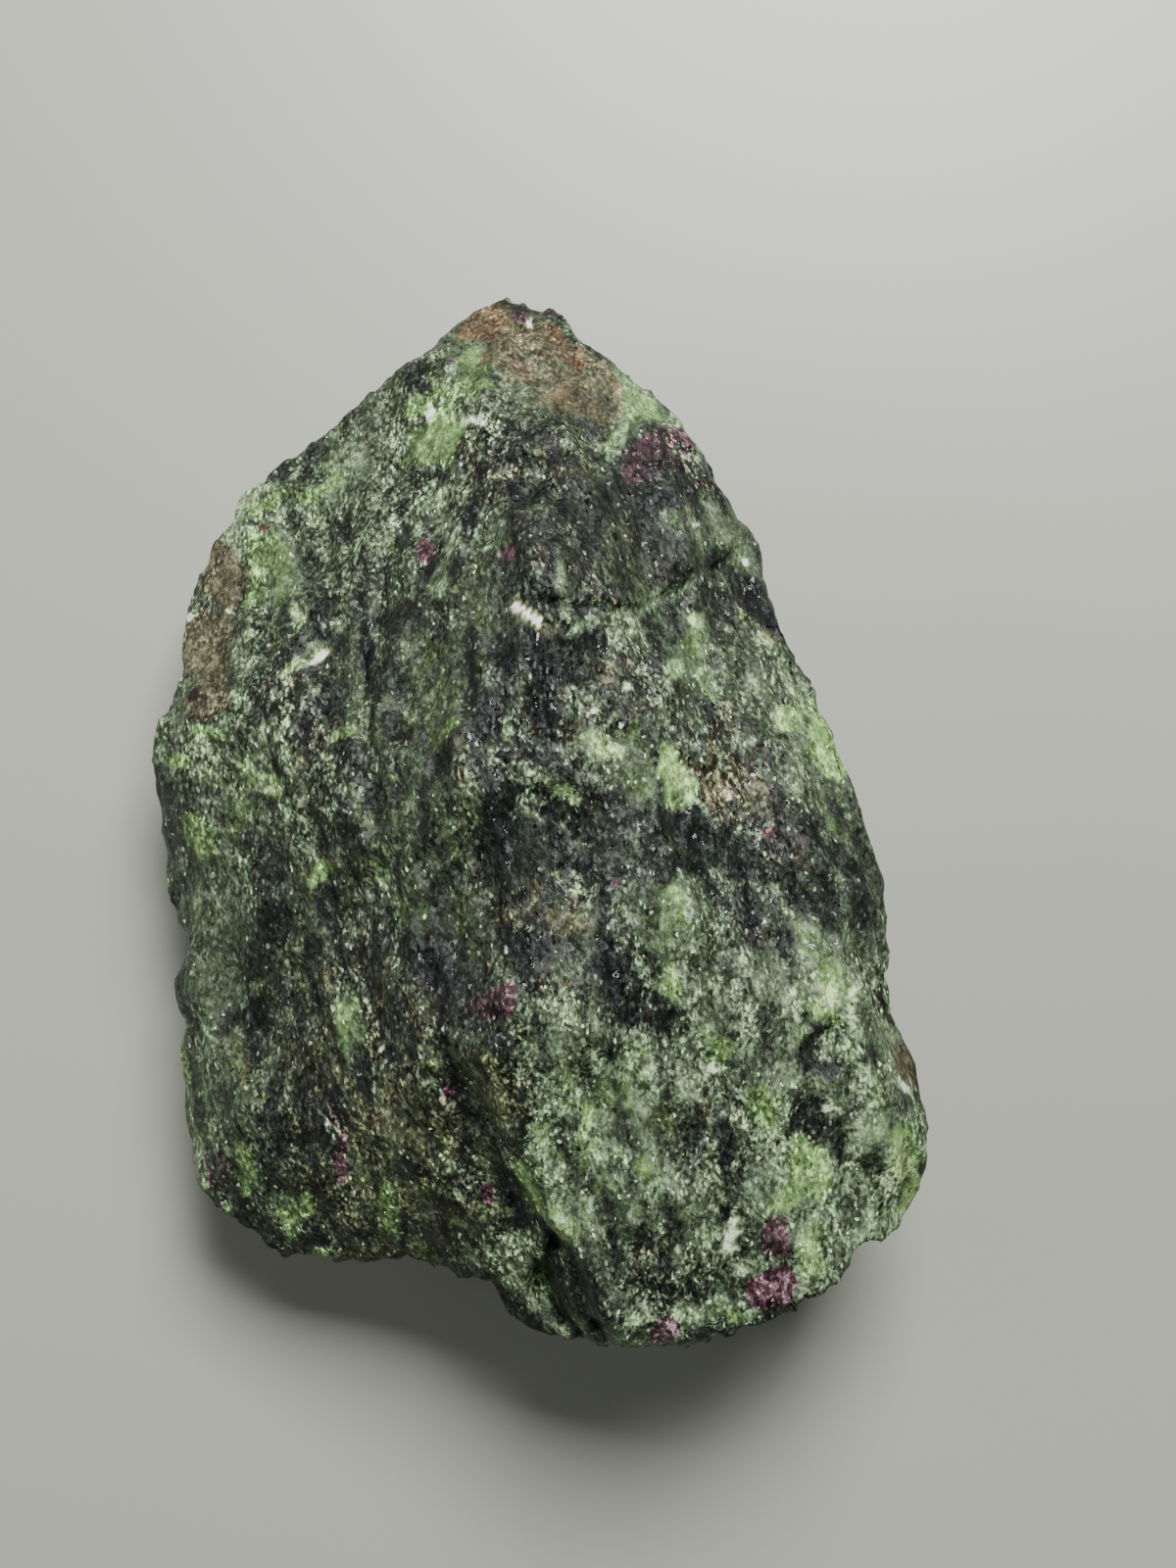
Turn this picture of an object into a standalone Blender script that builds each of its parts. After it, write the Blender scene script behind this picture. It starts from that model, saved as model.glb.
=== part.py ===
"""A rough piece of ruby in zoisite, broken from a larger block and lying on its flattest side.

One solid stone. Metres, +Z up, +Y towards its pointed end. The origin is on the surface that the
stone rests on, under the middle of its box. The sizes in the tables below are in millimetres, and
become metres when the mesh is made.
"""
import itertools
import math

import bmesh
import bpy
import numpy as np

MILLIMETRE = 0.001
WIDTH = 81.0         # of the whole stone, along X
LENGTH = 107.0       # along Y
HEIGHT = 46.0        # from the resting face to the top of the crest
HEART = np.array((0.0, -1.0, 20.0))      # a point inside the stone that sees its whole surface
CELLS = (30, 40, 16)                     # cells of the starting box along X, Y and Z
NUDGE = 0.5                              # how far its corners are shifted, in half cells

# The rim, the widest line round the stone: x, y and height, anticlockwise from the pointed end.
RIM = (
    (-3.1, 53.3, 19), (-7.1, 51.2, 19), (-11.3, 47.8, 19), (-18.4, 41.3, 20), (-23.2, 37.9, 20),
    (-27.0, 35.4, 19), (-31.3, 30.5, 18), (-35.5, 25.0, 17), (-36.7, 20.3, 16), (-36.6, 14.1, 16),
    (-37.8, 10.4, 15), (-39.9, 7.1, 14), (-41.3, 3.9, 13), (-41.4, -1.3, 13), (-40.2, -4.4, 13),
    (-37.5, -9.7, 14), (-35.7, -13.8, 14), (-35.5, -21.5, 14), (-36.8, -28.9, 14),
    (-37.3, -36.0, 15), (-36.3, -40.2, 16), (-34.6, -41.8, 17), (-29.4, -43.2, 19),
    (-25.4, -45.7, 20), (-20.0, -45.6, 21), (-13.1, -44.7, 22), (-4.2, -46.3, 24),
    (-2.5, -50.4, 26), (1.8, -52.5, 27), (7.3, -51.9, 28), (14.1, -52.4, 29), (18.7, -50.8, 29),
    (22.9, -49.3, 29), (26.6, -46.4, 29), (32.4, -41.8, 29), (38.6, -41.8, 28),
    (41.2, -37.9, 27), (40.7, -33.8, 27), (38.9, -28.6, 28), (38.1, -24.7, 28), (35.0, -19.3, 28),
    (34.1, -15.6, 28), (35.2, -13.2, 28), (35.1, -7.0, 28), (33.0, -1.3, 28), (29.7, 6.4, 28),
    (27.6, 13.2, 27), (25.1, 17.7, 25), (23.4, 22.7, 23), (21.8, 27.5, 22), (19.2, 31.5, 22),
    (14.2, 36.6, 21), (7.9, 45.0, 19), (4.4, 47.2, 19), (1.7, 51.4, 19), (-0.7, 51.8, 19),
)

# Broken faces. Each is a plane: a point on it, the way it falls (degrees from +X) and how steeply.
CREST_LEFT = (
    ((-5.4, 6.5, 45.6), 190.7, 35.6),       # the long lower left face
    ((-3.2, -20.4, 43.4), 231.2, 36.0),     # its foot, turned to the blunt end
    ((-5.4, 6.5, 45.6), 148.4, 37.4),       # the upper left face
    ((-35.3, -14.0, 20.0), 185.0, 58.0),    # the worn strip down the left edge
    ((-31.0, 22.8, 22.5), 157.0, 56.0),     # the brown skin above it
    ((-0.2, 38.4, 35.0), 97.0, 46.0),       # the nose
)
CREST_RIGHT = (
    ((5.5, 25.3, 40.2), 33.8, 41.0),        # the dark upper right face
    ((9.3, 12.2, 42.0), 12.0, 17.0),        # the shelf below it
    ((1.8, -15.7, 44.6), 305.7, 15.5),      # the broad lower right block
    ((37.0, -31.0, 32.0), 345.0, 58.0),     # broken edge at the right-hand corner
    ((15.0, -51.0, 32.5), 275.0, 55.0),     # broken edge at the blunt end
    ((31.5, 3.0, 34.0), 8.0, 60.0),         # broken edge beside the shelf
)
# The underside's planes rise outwards. The first lies below the resting face, so that only the
# deepest of its dishes are left when the stone is cut flat there.
UNDERSIDE = (
    ((0.0, 0.0, -1.9), 0.0, 0.0),
    ((0.0, -31.0, 0.0), 270.0, 50.0),
    ((-21.0, -29.0, 0.0), 225.0, 47.0),
    ((-28.0, -1.0, 0.0), 182.0, 54.0),
    ((-19.0, 23.0, 0.0), 143.0, 45.0),
    ((1.0, 34.0, 0.0), 92.0, 41.0),
    ((21.0, 13.0, 0.0), 33.0, 57.0),
    ((26.0, -9.0, 0.0), 358.0, 61.0),
    ((20.0, -31.0, 0.0), 315.0, 55.0),
)
CREASE = 0.6             # how far the crests between the faces are rounded
UNDER_CREASE = 0.9       # the same on the underside

# The scarp, where the right-hand block stands above the foot of the left face: points down it.
SCARP = ((-4.6, -14.0), (-4.2, -22.0), (-1.4, -34.0), (2.2, -45.0), (5.2, -56.0))
SCARP_WIDTH = 3.6
SCARP_START = -12.0      # it grows out of the crest at this y
SCARP_GROWS = 22.0       # over this length

# Hollows and plates: centre, size along and across, direction of its length, how far it goes in
# (negative stands proud), and how abrupt its rim is (1 is a plain bowl).
HOLLOWS = (
    ((-1.0, -6.2), (12.0, 7.5), 60.0, 1.3, 1.6),    # the shell-shaped dish in the black band
    ((9.5, 28.5), (13.0, 8.5), 23.0, -1.2, 5.0),    # the plate left standing at the upper right
    ((4.0, -47.6), (7.5, 3.4), 118.0, 3.6, 1.6),    # the cleft at the blunt end
    ((-15.5, 14.8), (11.0, 1.8), 84.0, 1.2, 1.0),   # the crease down the upper left face
    ((-29.0, -19.2), (9.0, 2.6), 108.0, 1.4, 1.0),  # the dark furrow in the lower left face
    ((-26.0, 27.0), (7.5, 5.0), 60.0, 1.0, 3.0),    # a flake gone from the upper left edge
    ((0.0, 31.5), (3.4, 2.6), 20.0, 1.2, 1.0),      # pits
    ((28.4, -22.7), (2.8, 2.1), 75.0, 1.0, 1.0),
)
HOLLOWS_FADE = 3.0       # height above the rim over which they come in
WANDER = (6.0, 1.5)      # size and reach of the wandering of their edges

LAYERS = (0.22, -0.97, -0.12)    # the way the rock's layers run
DRAWN_OUT = 2.0                  # chips are this much longer along the layers than across them
SWELL = (21.0, 0.9)              # size and height of the broad swellings
CHIPS = ((9.0, 2.4, 5), (4.6, 1.1, 11))     # size, depth and seed of the broken dishes
SET_BACK = 0.3                   # keeps the roughened surface level with the planes
RIM_CALM = 0.12                  # share of the roughness left at the rim
RIM_REACH = 6.0                  # distance from the rim over which the rest comes back


def planes_at(planes, x, y, sign):
    """Height of each slanting plane above (x, y): sign -1 falls along its direction, +1 rises."""
    heights = []
    for (px, py, pz), direction, slope in planes:
        turn = math.radians(direction)
        along = (x - px) * math.cos(turn) + (y - py) * math.sin(turn)
        heights.append(pz + sign * math.tan(math.radians(slope)) * along)
    return np.array(heights)


def lowest(heights, rounding):
    """The lowest of several heights, with each crease between them rounded."""
    return -rounding * np.log(np.exp(-heights / rounding).sum(axis=0))


def ease(value):
    """Nought below 0, one above 1, and a smooth climb between."""
    t = np.clip(value, 0.0, 1.0)
    return t * t * (3.0 - 2.0 * t)


def rim_at(x, y):
    """Distance from the heart out to the rim, and the rim's height, in the direction of (x, y)."""
    corners = np.array(RIM) - (HEART[0], HEART[1], 0.0)
    bearings = np.arctan2(corners[:, 1], corners[:, 0])
    reaches = np.hypot(corners[:, 0], corners[:, 1])
    bearing = np.arctan2(y - HEART[1], x - HEART[0])
    reach = np.interp(bearing, bearings, reaches, period=2.0 * math.pi)
    height = np.interp(bearing, bearings, corners[:, 2], period=2.0 * math.pi)
    return reach, height


def beyond_rim(x, y):
    """Distance outside the rim, negative inside it, measured along the way to the heart."""
    return np.hypot(x - HEART[0], y - HEART[1]) - rim_at(x, y)[0]


def right_of_scarp(x, y):
    """0 on the left of the scarp and 1 on its right, growing from nothing at its upper end."""
    xs, ys = np.array(SCARP[::-1]).T
    beyond = x - np.interp(y, ys, xs)
    return ease(beyond / SCARP_WIDTH + 0.5) * ease((SCARP_START - y) / SCARP_GROWS)


def outside(p):
    """Positive outside the stone's main form, negative inside, and nought on its faces."""
    x, y, z = p.T
    left = lowest(planes_at(CREST_LEFT, x, y, -1.0), CREASE)
    right = lowest(planes_at(CREST_RIGHT, x, y, -1.0), CREASE)
    both = lowest(np.array((left, right)), CREASE)
    top = both + (right - both) * right_of_scarp(x, y)
    bottom = -lowest(-planes_at(UNDERSIDE, x, y, 1.0), UNDER_CREASE)
    return np.max((beyond_rim(x, y), z - top, bottom - z), axis=0)


def scatter(cell, seed):
    """Three repeatable random numbers, from 0 to 1, for each cell of a whole-numbered grid."""
    table = np.random.default_rng(seed).random((4096, 3))
    return table[(cell * (73856093, 19349663, 83492791)).sum(axis=-1) % 4096]


def swell(p, size, seed):
    """Smooth noise from -1 to 1: a random height at each corner of a grid, eased in between."""
    q = p / size
    cell = np.floor(q).astype(np.int64)
    part = ease(q - cell)
    total = 0.0
    for corner in itertools.product((0, 1), repeat=3):
        share = np.where(corner, part, 1.0 - part).prod(axis=-1)
        total = total + share * scatter(cell + corner, seed)[..., 0]
    return 2.0 * total - 1.0


def chips(p, size, seed):
    """Shallow broken dishes that meet at sharp ridges: the lowest of many tilted bowls, one at a
    jittered point in each cell of a grid."""
    q = p / size
    base = np.floor(q).astype(np.int64)
    height = np.full(len(p), np.inf)
    for step in itertools.product((-1, 0, 1), repeat=3):
        cell = base + step
        away = q - cell - scatter(cell, seed)
        tilt = 2.0 * scatter(cell, seed + 1) - 1.0
        height = np.minimum(height, (away * tilt).sum(axis=-1) + 1.3 * (away ** 2).sum(axis=-1))
    return height


def hollow(x, y, centre, size, direction, depth, abruptness):
    """An oval dish seen from above: full depth inside, eased to nothing at its rim."""
    turn = math.radians(direction)
    x, y = x - centre[0], y - centre[1]
    along = (x * math.cos(turn) + y * math.sin(turn)) / size[0]
    across = (y * math.cos(turn) - x * math.sin(turn)) / size[1]
    return depth * ease(abruptness * (1.0 - along ** 2 - across ** 2))


def sunk(p):
    """How far points p of the upper side sink into its hollows: nothing at the rim and below."""
    x, y, z = p.T
    size, reach = WANDER
    east, north = x + reach * swell(p, size, 31), y + reach * swell(p, size, 32)
    depth = sum(hollow(east, north, *shape) for shape in HOLLOWS)
    return depth * ease((z - rim_at(x, y)[1]) / HOLLOWS_FADE)


def relief(p):
    """How far the broken surface stands out from the main form at points p on it."""
    layers = np.array(LAYERS) / np.linalg.norm(LAYERS)
    drawn = p - np.outer(p @ layers, layers) * (1.0 - 1.0 / DRAWN_OUT)
    rough = SWELL[1] * swell(p, SWELL[0], 3) - SET_BACK
    for size, depth, seed in CHIPS:
        rough = rough + depth * chips(drawn, size, seed)
    from_rim = np.hypot(beyond_rim(p[:, 0], p[:, 1]), p[:, 2] - rim_at(p[:, 0], p[:, 1])[1])
    return rough * (RIM_CALM + (1.0 - RIM_CALM) * ease(from_rim / RIM_REACH))


def on_surface(rays):
    """Where rays from the heart leave the stone. Halving finds where each meets the main form. The
    relief is added along the ray, what would reach below the resting face is cut off there, and
    the hollows are sunk straight down."""
    near = np.zeros(len(rays))
    far = np.full(len(rays), 2.0)
    for _ in range(26):
        middle = 0.5 * (near + far)
        out = outside(HEART + rays * middle[:, None]) > 0.0
        far = np.where(out, middle, far)
        near = np.where(out, near, middle)
    form = HEART + rays * near[:, None]
    reach = near + relief(form) / np.linalg.norm(rays, axis=1)
    falling = np.minimum(rays[:, 2], -1e-6)
    places = HEART + rays * np.minimum(reach, -HEART[2] / falling)[:, None]
    places[:, 2] -= sunk(form)
    return places


def rays_to(box):
    """Rays from the heart to points of the unit box, nudged so that no rows show in the stone, with
    the box's middle row turned to follow the rim."""
    nudge = np.random.default_rng(7).uniform(-NUDGE, NUDGE, box.shape) / CELLS
    nudge[:, 2] *= box[:, 2] ** 2
    rays = (box + nudge) * (WIDTH / 2, LENGTH / 2, HEIGHT / 2)
    reach, height = rim_at(rays[:, 0] + HEART[0], rays[:, 1] + HEART[1])
    slant = (height - HEART[2]) / reach * np.hypot(rays[:, 0], rays[:, 1])
    rays[:, 2] += slant * (1.0 - box[:, 2] ** 2)
    return rays


def subdivided_box(cells):
    """A box primitive that reaches 1 each way, cut into the given number of cells along each axis."""
    mesh = bmesh.new()
    bmesh.ops.create_cube(mesh, size=2.0)
    for axis, count in enumerate(cells):
        edges = [e for e in mesh.edges if abs((e.verts[0].co - e.verts[1].co)[axis]) > 1e-6]
        bmesh.ops.subdivide_edges(mesh, edges=edges, cuts=count - 1, use_grid_fill=True)
    return mesh


def stone_mesh():
    """The box's corners moved out along rays to the stone's surface, centred over the origin, and
    the box's faces cut into triangles."""
    box = subdivided_box(CELLS)
    places = on_surface(rays_to(np.array([v.co[:] for v in box.verts])))
    places[:, :2] -= (places.min(axis=0) + places.max(axis=0))[:2] / 2.0
    for vertex, place in zip(box.verts, places):
        vertex.co = place * MILLIMETRE
    bmesh.ops.triangulate(box, faces=box.faces, quad_method='SHORT_EDGE')
    mesh = bpy.data.meshes.new("ruby_in_zoisite")
    box.to_mesh(mesh)
    box.free()
    return mesh


def rock_material():
    """Green zoisite, darkened by the black hornblende that is mixed through it."""
    material = bpy.data.materials.new("ruby_zoisite_rock")
    material.use_nodes = True
    shader = material.node_tree.nodes["Principled BSDF"]
    shader.inputs["Base Color"].default_value = (0.055, 0.085, 0.045, 1.0)
    shader.inputs["Roughness"].default_value = 0.55
    shader.inputs["Metallic"].default_value = 0.0
    return material


for old in list(bpy.data.objects):
    bpy.data.objects.remove(old, do_unlink=True)
collection = bpy.data.collections.new("ruby in zoisite")
bpy.context.scene.collection.children.link(collection)
stone = bpy.data.objects.new("ruby_in_zoisite", stone_mesh())
stone.data.materials.append(rock_material())
collection.objects.link(stone)
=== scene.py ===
"""A rough piece of ruby in zoisite, lying on its flattest side on a pale table.

The stone's form is worked out in millimetres from its heart outwards, and its minerals are laid on
it from a plan; both become metres and colours only at the end.
"""
import itertools
import math

import bpy
import numpy as np
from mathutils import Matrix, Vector


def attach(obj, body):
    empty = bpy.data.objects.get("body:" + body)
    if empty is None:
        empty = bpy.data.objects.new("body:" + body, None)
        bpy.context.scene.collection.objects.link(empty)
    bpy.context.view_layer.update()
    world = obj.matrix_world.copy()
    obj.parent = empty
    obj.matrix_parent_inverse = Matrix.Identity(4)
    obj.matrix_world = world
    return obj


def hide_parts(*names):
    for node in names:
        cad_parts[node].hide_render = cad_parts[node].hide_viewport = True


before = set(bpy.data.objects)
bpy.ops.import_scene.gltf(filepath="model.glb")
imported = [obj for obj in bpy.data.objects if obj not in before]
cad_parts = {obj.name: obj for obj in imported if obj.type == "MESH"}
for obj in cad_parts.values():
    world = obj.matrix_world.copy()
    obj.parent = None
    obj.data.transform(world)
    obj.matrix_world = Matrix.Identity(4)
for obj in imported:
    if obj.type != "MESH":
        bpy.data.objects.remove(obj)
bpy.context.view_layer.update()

# ----------------------------------------
# The block. One piece of coarse metamorphic rock, knocked off a larger block with a hammer. It
# has a crest along its length, long broken faces falling to a sharp rim, and a steeper underside
# that ends in the face it rests on.
# ----------------------------------------
HEART = np.array((0.0, -1.0, 20.0))      # a point inside the stone that sees its whole surface

# The rim, the widest line round the stone: x, y and height, anticlockwise from the pointed end.
RIM = (
    (-3.1, 53.3, 19), (-7.1, 51.2, 19), (-11.3, 47.8, 19), (-18.4, 41.3, 20), (-23.2, 37.9, 20),
    (-27, 35.4, 19), (-31.3, 30.5, 18), (-35.5, 25, 17), (-36.7, 20.3, 16), (-36.6, 14.1, 16),
    (-37.8, 10.4, 15), (-39.9, 7.1, 14), (-41.3, 3.9, 13), (-41.4, -1.3, 13), (-40.2, -4.4, 13),
    (-37.5, -9.7, 14), (-35.7, -13.8, 14), (-35.5, -21.5, 14), (-36.8, -28.9, 14),
    (-37.3, -36, 15), (-36.3, -40.2, 16), (-34.6, -41.8, 17), (-29.4, -43.2, 19),
    (-25.4, -45.7, 20), (-20, -45.6, 21), (-13.1, -44.7, 22), (-4.2, -46.3, 24),
    (-2.5, -50.4, 26), (1.8, -52.5, 27), (7.3, -51.9, 28), (14.1, -52.4, 29), (18.7, -50.8, 29),
    (22.9, -49.3, 29), (26.6, -46.4, 29), (32.4, -41.8, 29), (38.6, -41.8, 28),
    (41.2, -37.9, 27), (40.7, -33.8, 27), (38.9, -28.6, 28), (38.1, -24.7, 28), (35, -19.3, 28),
    (34.1, -15.6, 28), (35.2, -13.2, 28), (35.1, -7, 28), (33, -1.3, 28), (29.7, 6.4, 28),
    (27.6, 13.2, 27), (25.1, 17.7, 25), (23.4, 22.7, 23), (21.8, 27.5, 22), (19.2, 31.5, 22),
    (14.2, 36.6, 21), (7.9, 45, 19), (4.4, 47.2, 19), (1.7, 51.4, 19), (-0.7, 51.8, 19),
)

# Broken faces. Each is a plane: a point on it, the way it falls (degrees from +X) and how steeply.
CREST_LEFT = (
    ((-5.4, 6.5, 45.6), 190.7, 35.6),  # the long lower left face
    ((-3.2, -20.4, 43.4), 231.2, 36),  # its foot, turned to the blunt end
    ((-5.4, 6.5, 45.6), 148.4, 37.4),  # the upper left face
    ((-35.3, -14, 20), 185, 58),       # the worn strip down the left edge
    ((-31, 22.8, 22.5), 157, 56),      # the brown skin above it
    ((-0.2, 38.4, 35), 97, 46),        # the nose
)
CREST_RIGHT = (
    ((5.5, 25.3, 40.2), 33.8, 41),      # the dark upper right face
    ((9.3, 12.2, 42), 12, 17),          # the shelf below it
    ((1.8, -15.7, 44.6), 305.7, 15.5),  # the broad lower right block
    ((37, -31, 32), 345, 58),           # broken edge at the right-hand corner
    ((15, -51, 32.5), 275, 55),         # broken edge at the blunt end
    ((31.5, 3, 34), 8, 60),             # broken edge beside the shelf
)
UNDERSIDE = (
    ((0, 0, -1.9), 0, 0),
    ((0, -31, 0), 270, 50),
    ((-21, -29, 0), 225, 47),
    ((-28, -1, 0), 182, 54),
    ((-19, 23, 0), 143, 45),
    ((1, 34, 0), 92, 41),
    ((21, 13, 0), 33, 57),
    ((26, -9, 0), 358, 61),
    ((20, -31, 0), 315, 55),
)
CREASE, UNDER_CREASE = 0.6, 0.9          # how far the crests between the faces are rounded

# The scarp, where the right-hand block stands above the foot of the left face: points down it.
SCARP = ((-4.6, -14), (-4.2, -22), (-1.4, -34), (2.2, -45), (5.2, -56))
SCARP_WIDTH, SCARP_START, SCARP_GROWS = 3.6, -12.0, 22.0


def planes_at(planes, x, y, sign):
    """Height of each slanting plane above (x, y): its point's height, plus or minus the tangent
    of its slope times the distance along its direction."""
    heights = []
    for (px, py, pz), direction, slope in planes:
        turn = math.radians(direction)
        along = (x - px) * math.cos(turn) + (y - py) * math.sin(turn)
        heights.append(pz + sign * math.tan(math.radians(slope)) * along)
    return np.array(heights)


def lowest(heights, rounding):
    """The lowest of several heights, with each crease between them rounded: minus the logarithm
    of the sum of their negative exponentials, times the rounding."""
    return -rounding * np.log(np.exp(-heights / rounding).sum(axis=0))


def ease(value):
    """Nought below 0, one above 1, and t squared times (3 - 2t) between."""
    t = np.clip(value, 0.0, 1.0)
    return t * t * (3.0 - 2.0 * t)


def rim_at(x, y):
    """Distance from the heart out to the rim, and the rim's height, in the direction of (x, y):
    straight lines, by bearing, between the rim's points."""
    corners = np.array(RIM) - (HEART[0], HEART[1], 0.0)
    bearings = np.arctan2(corners[:, 1], corners[:, 0])
    reaches = np.hypot(corners[:, 0], corners[:, 1])
    bearing = np.arctan2(y - HEART[1], x - HEART[0])
    reach = np.interp(bearing, bearings, reaches, period=2.0 * math.pi)
    height = np.interp(bearing, bearings, corners[:, 2], period=2.0 * math.pi)
    return reach, height


def beyond_rim(x, y):
    """Distance outside the rim, negative inside it, measured along the way to the heart."""
    return np.hypot(x - HEART[0], y - HEART[1]) - rim_at(x, y)[0]


def right_of_scarp(x, y):
    """0 on the left of the scarp and 1 on its right, growing from nothing at its upper end."""
    xs, ys = np.array(SCARP[::-1]).T
    beyond = x - np.interp(y, ys, xs)
    return ease(beyond / SCARP_WIDTH + 0.5) * ease((SCARP_START - y) / SCARP_GROWS)


def top_at(x, y):
    """Height of the upper faces above (x, y): the lowest of all, and of the right side's alone on
    the right of the scarp."""
    left = lowest(planes_at(CREST_LEFT, x, y, -1.0), CREASE)
    right = lowest(planes_at(CREST_RIGHT, x, y, -1.0), CREASE)
    both = lowest(np.array((left, right)), CREASE)
    return both + (right - both) * right_of_scarp(x, y)


def outside(p):
    """Positive outside the block, negative inside and nought on its faces: the greatest of the
    distance beyond the rim, above the upper faces and below the under faces."""
    x, y, z = p.T
    bottom = -lowest(-planes_at(UNDERSIDE, x, y, 1.0), UNDER_CREASE)
    return np.max((beyond_rim(x, y), z - top_at(x, y), bottom - z), axis=0)


# ----------------------------------------
# The broken surface. The rock parts in shallow dishes that meet at sharp little ridges, drawn out
# along its layers; the same dishes, ever smaller, go down to the size of its grains.
# ----------------------------------------
# Hollows and plates: centre, size along and across, direction of its length, how far it goes in
# (negative stands proud), and how abrupt its rim is (1 is a plain bowl).
HOLLOWS = (
    ((-1, -6.2), (12, 7.5), 60, 1.3, 1.6),    # the shell-shaped dish in the black band
    ((9.5, 28.5), (13, 8.5), 23, -1.2, 5),    # the plate left standing at the upper right
    ((4, -47.6), (7.5, 3.4), 118, 3.6, 1.6),  # the cleft at the blunt end
    ((-15.5, 14.8), (11, 1.8), 84, 1.2, 1),   # the crease down the upper left face
    ((-29, -19.2), (9, 2.6), 108, 1.4, 1),    # the dark furrow in the lower left face
    ((-26, 27), (7.5, 5), 60, 1, 3),          # a flake gone from the upper left edge
    ((0, 31.5), (3.4, 2.6), 20, 1.2, 1),      # pits
    ((28.4, -22.7), (2.8, 2.1), 75, 1, 1),
)
HOLLOWS_FADE = 3.0       # height above the rim over which they come in
WANDER = (6.0, 1.5)      # size and reach of the wandering of their edges

LAYERS = np.array((0.22, -0.97, -0.12))     # the way the rock's layers run
DRAWN_OUT = 2.0                  # chips are this much longer along the layers than across them
SWELL = (21.0, 0.9)              # size and height of the broad swellings
CHIPS = ((9.0, 2.4, 5), (4.6, 1.1, 11))     # size, depth and seed of the broken dishes
SET_BACK = 0.3                   # keeps the roughened surface level with the planes
RIM_CALM, RIM_REACH = 0.12, 6.0  # share of the roughness left at the rim, and over what distance
SMALL_CHIPS = ((2.3, 0.6, 17), (1.2, 0.34, 23))     # the smaller dishes, down to single grains
SMALL_SET_BACK = 0.2
ACROSS = np.array((0.97, 0.22, 0.0))    # across the layers, along the surface
LEDGES = (3.4, 0.55)             # breadth and height of the steps where the layers part
BENDS = ((1.1, 4.0, 9.0, 41), (0.4, 3.0, 3.5, 43))  # their bending: reach, drawn out, size, seed
LEDGE_FALLS = 0.16               # share of a step's breadth in which it falls away
LEDGES_COME, LEDGES_SIZE = 1.6, 13.0    # how abruptly they come and go, and over what size
BOWED = 1.3                      # how deeply a dish is bowed
FINE_CALM, FINE_REACH = 0.4, 3.0  # the same for the smaller dishes and the ledges
FARTHEST, HALVINGS = 3.0, 26     # how far out along a ray the surface is sought, and how finely
DRAWS, APART = 4096, (73856093, 19349663, 83492791)     # numbers drawn, and what tells cells apart


def scatter(cell, seed):
    """Three repeatable random numbers, from 0 to 1, for each cell of a whole-numbered grid."""
    table = np.random.default_rng(seed).random((DRAWS, 3))
    return table[(cell * APART).sum(axis=-1) % DRAWS]


def swell(p, size, seed):
    """Smooth noise from -1 to 1: a random height at each corner of a grid, eased in between."""
    q = p / size
    cell = np.floor(q).astype(np.int64)
    part = ease(q - cell)
    total = 0.0
    for corner in itertools.product((0, 1), repeat=3):
        share = np.where(corner, part, 1.0 - part).prod(axis=-1)
        total = total + share * scatter(cell + corner, seed)[..., 0]
    return 2.0 * total - 1.0


def chips(p, size, seed):
    """Shallow broken dishes that meet at sharp ridges: the lowest of many tilted bowls, one at a
    jittered point in each cell of a grid."""
    q = p / size
    base = np.floor(q).astype(np.int64)
    height = np.full(len(p), np.inf)
    for step in itertools.product((-1, 0, 1), repeat=3):
        cell = base + step
        away = q - cell - scatter(cell, seed)
        tilt = 2.0 * scatter(cell, seed + 1) - 1.0
        height = np.minimum(height, (away * tilt).sum(axis=-1) + BOWED * (away ** 2).sum(axis=-1))
    return height


def oval(x, y, centre, size, direction):
    """1 at an oval's centre, nought on its edge and negative outside it: one less the squares of
    the distances along and across it, each in units of its size that way."""
    turn = math.radians(direction)
    x, y = x - centre[0], y - centre[1]
    along = (x * math.cos(turn) + y * math.sin(turn)) / size[0]
    across = (y * math.cos(turn) - x * math.sin(turn)) / size[1]
    return 1.0 - along ** 2 - across ** 2


def sunk(p):
    """How far points p of the upper side sink into its hollows: nothing at the rim and below."""
    x, y, z = p.T
    size, reach = WANDER
    east, north = x + reach * swell(p, size, 31), y + reach * swell(p, size, 32)
    depth = sum(deep * ease(abrupt * oval(east, north, centre, size, direction))
                for centre, size, direction, deep, abrupt in HOLLOWS)
    return depth * ease((z - rim_at(x, y)[1]) / HOLLOWS_FADE)


def drawn_out(p, times):
    """Points squeezed along the layers, so that what is even on them comes out drawn along."""
    layers = LAYERS / np.linalg.norm(LAYERS)
    return p - np.outer(p @ layers, layers) * (1.0 - 1.0 / times)


def ledges(p):
    """Steps where the rock parts along its layers: a saw-tooth across them that rises slowly and
    falls away abruptly, bent by two sizes of noise and only here and there by a third."""
    breadth, height = LEDGES
    place = p @ ACROSS / breadth
    for reach, times, size, seed in BENDS:
        place = place + reach * swell(drawn_out(p, times), size, seed)
    part = place - np.floor(place)
    here = ease(0.5 + LEDGES_COME * swell(p, LEDGES_SIZE, 44))
    return height * part * ease((1.0 - part) / LEDGE_FALLS) * here


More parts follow.
